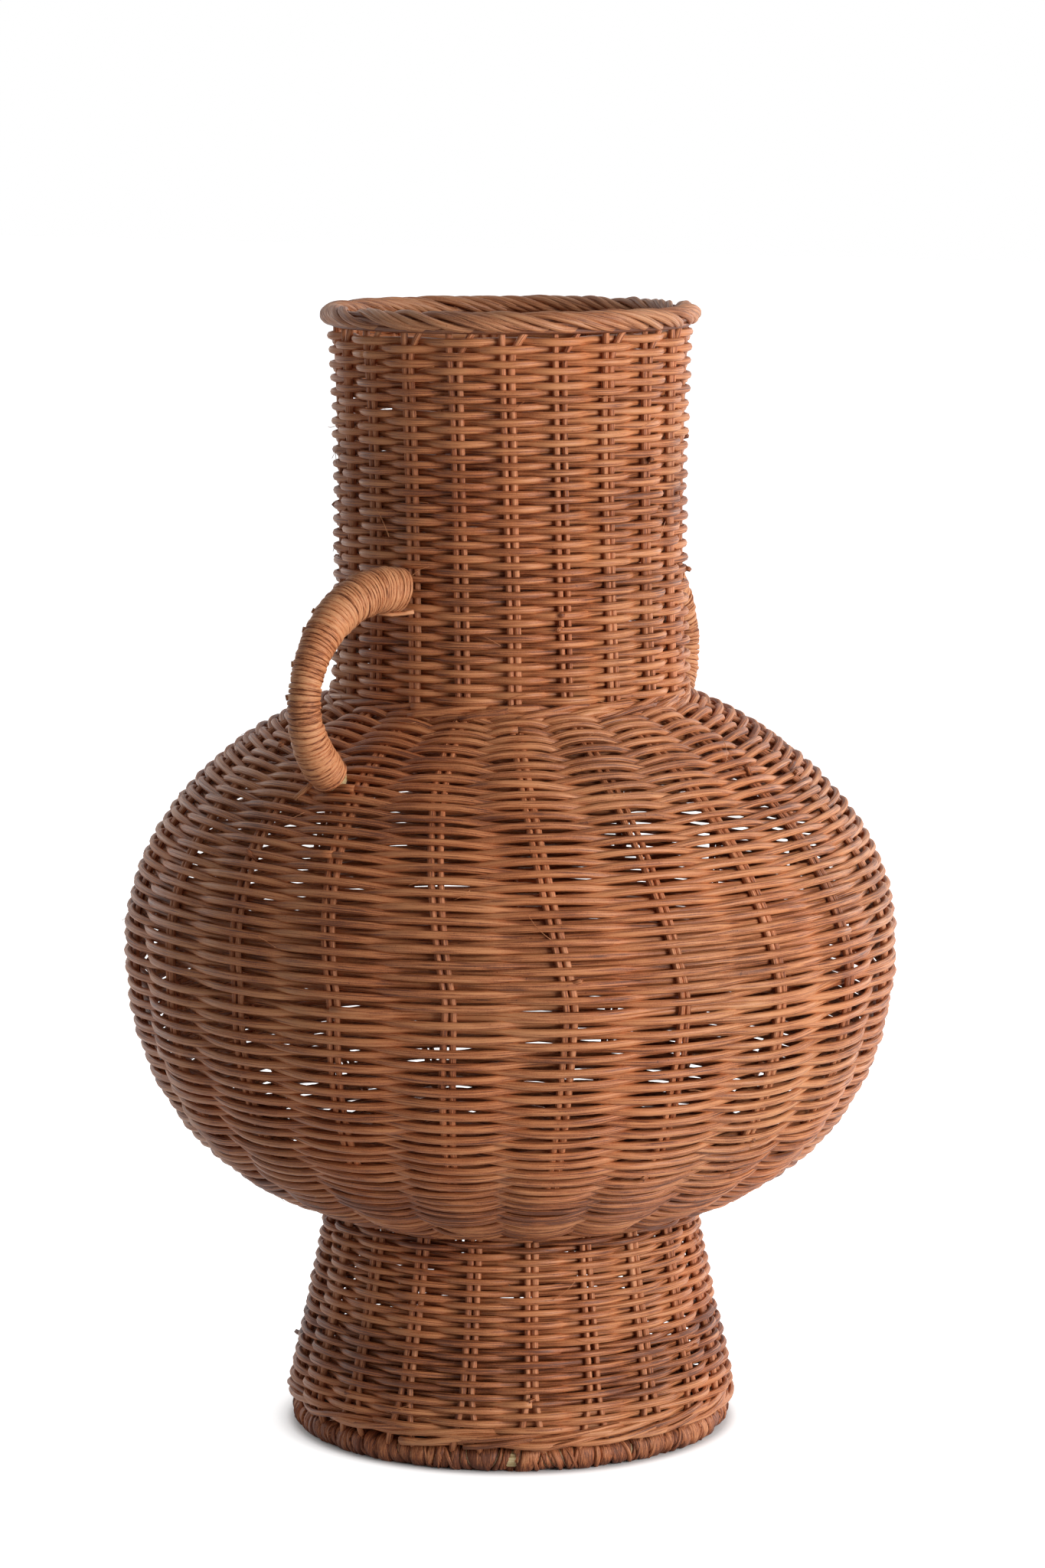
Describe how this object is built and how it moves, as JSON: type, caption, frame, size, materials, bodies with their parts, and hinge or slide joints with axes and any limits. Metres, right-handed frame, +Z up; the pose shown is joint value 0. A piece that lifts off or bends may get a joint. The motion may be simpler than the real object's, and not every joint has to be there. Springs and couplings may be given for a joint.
{
  "type": "rattan vase",
  "caption": "Tall woven rattan floor vase with a flared foot on a lashed hoop, a round belly, a straight neck, a rolled rim and two small wrapped handles; holds dried stems.",
  "frame": {"origin": "middle of the standing hoop, on the floor", "axes": "+Z up along the vase's axis; the left handle is on -X and the right one nearly opposite"},
  "size_m": [0.3429, 0.3428, 0.5],
  "materials": {
    "weave": "satin round rattan core",
    "rim": "satin round rattan core",
    "stake": "satin round rattan core",
    "strip": "glossy split cane",
    "pole": "pale natural pole",
    "floor": "satin round rattan core"
  },
  "bodies": {
    "root": {"foot_weave": "weave", "belly_weave": "weave", "neck_weave": "weave", "rim_border": "rim", "stake_01_a": "stake", "stake_01_b": "stake", "stake_02_a": "stake", "stake_02_b": "stake", "stake_03_a": "stake", "stake_03_b": "stake", "stake_04_a": "stake", "stake_04_b": "stake", "stake_05_a": "stake", "stake_05_b": "stake", "stake_06_a": "stake", "stake_06_b": "stake", "stake_07_a": "stake", "stake_07_b": "stake", "stake_08_a": "stake", "stake_08_b": "stake", "stake_09_a": "stake", "stake_09_b": "stake", "stake_10_a": "stake", "stake_10_b": "stake", "stake_11_a": "stake", "stake_11_b": "stake", "stake_12_a": "stake", "stake_12_b": "stake", "stake_13_a": "stake", "stake_13_b": "stake", "stake_14_a": "stake", "stake_14_b": "stake", "stake_15_a": "stake", "stake_15_b": "stake", "stake_16_a": "stake", "stake_16_b": "stake", "stake_17_a": "stake", "stake_17_b": "stake", "stake_18_a": "stake", "stake_18_b": "stake", "stake_19_a": "stake", "stake_19_b": "stake", "stake_20_a": "stake", "stake_20_b": "stake", "stake_21_a": "stake", "stake_21_b": "stake", "hoop_pole": "pole", "handle_left_pole": "pole", "handle_right_pole": "pole", "hoop_lashing": "strip", "handle_left_winding": "strip", "handle_right_winding": "strip", "floor_mat": "floor", "floor_stick_a1": "stake", "floor_stick_a2": "stake", "floor_stick_b1": "stake", "floor_stick_b2": "stake"}
  },
  "joints": []
}
